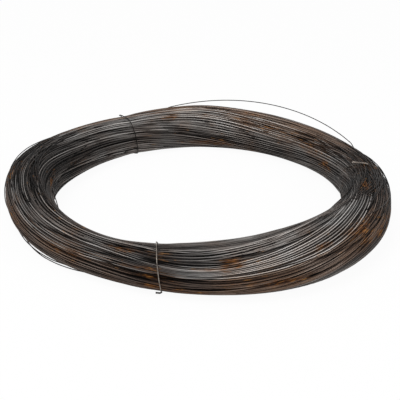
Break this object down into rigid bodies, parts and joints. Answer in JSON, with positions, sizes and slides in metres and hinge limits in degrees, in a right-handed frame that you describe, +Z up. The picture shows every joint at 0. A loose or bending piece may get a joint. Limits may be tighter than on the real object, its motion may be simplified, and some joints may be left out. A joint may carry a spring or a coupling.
{
  "type": "coil of steel binding wire",
  "caption": "Ring coil of thin black annealed steel wire lying flat, bundled by twisted wire ties, with a loose turn sprung clear over the back.",
  "frame": {"origin": "centre of the coil's eye, on the plane of the floor that the coil lies on", "axes": "+Z up along the axis of the eye, -Y towards the side that the picture is taken from, +X to its right"},
  "size_m": [0.5, 0.5, 0.0678],
  "materials": {
    "black_annealed_wire": "black annealed drawn steel with thin scale and patches of light rust",
    "tie_wire": "annealed drawn steel, worn lighter than the coil, twisted by hand"
  },
  "bodies": {
    "root": {"wire_coil": "black_annealed_wire", "loose_turn": "black_annealed_wire", "tie_wire_front": "tie_wire", "tie_wire_back_left": "tie_wire", "tie_wire_right": "tie_wire"}
  },
  "joints": []
}
